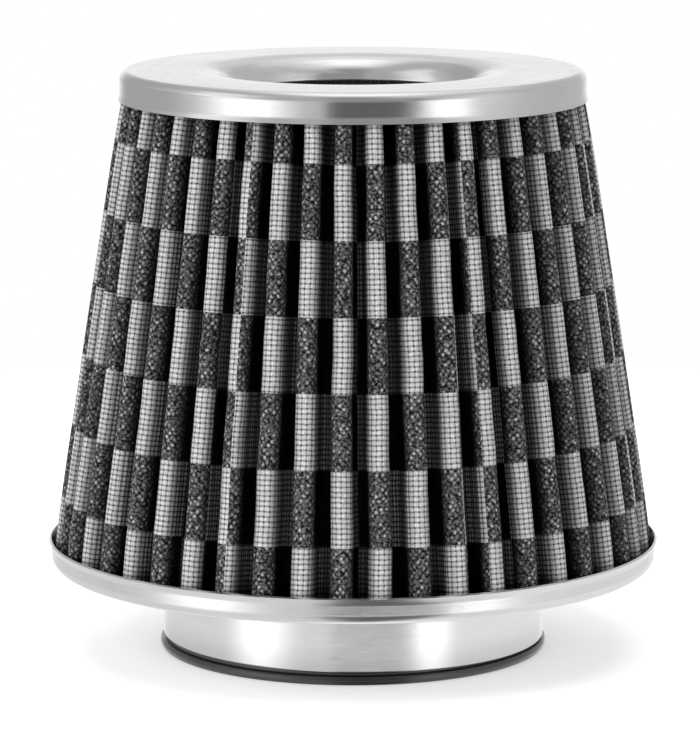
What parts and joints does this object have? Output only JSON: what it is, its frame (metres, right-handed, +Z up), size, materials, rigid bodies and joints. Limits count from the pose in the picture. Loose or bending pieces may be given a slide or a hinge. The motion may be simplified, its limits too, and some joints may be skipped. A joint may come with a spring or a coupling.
{
  "type": "cone air filter",
  "caption": "Pleated cone air filter with a spun metal cap and open mouth, a base pan, and a round neck with rubber adapters that clamps over an intake pipe.",
  "frame": {"origin": "centre of the underside of the rubber flange that the filter stands on", "axes": "+Z up the cone's axis, from the neck to the cap; -Y is the side that the picture shows"},
  "size_m": [0.15, 0.15, 0.1426],
  "materials": {
    "cap_metal": "spun, bright satin",
    "pan_metal": "spun, satin",
    "neck_metal": "turned, bright",
    "checked_mesh": "light and dark checks of woven mesh",
    "sealant": "matt cast sealant",
    "wire_grid": "galvanised wire",
    "black_rubber": "moulded, satin",
    "black_gauze": "matt woven gauze"
  },
  "bodies": {
    "root": {"top_cap": "cap_metal", "top_potting": "sealant", "pleated_media": "checked_mesh", "support_screen": "wire_grid", "base_potting": "sealant", "base_pan": "pan_metal", "neck_collar": "neck_metal", "outer_adapter": "black_rubber", "inner_adapter": "black_rubber", "inner_cone_media": "black_gauze", "inner_cone_screen": "wire_grid", "inner_cone_cup": "cap_metal"}
  },
  "joints": []
}
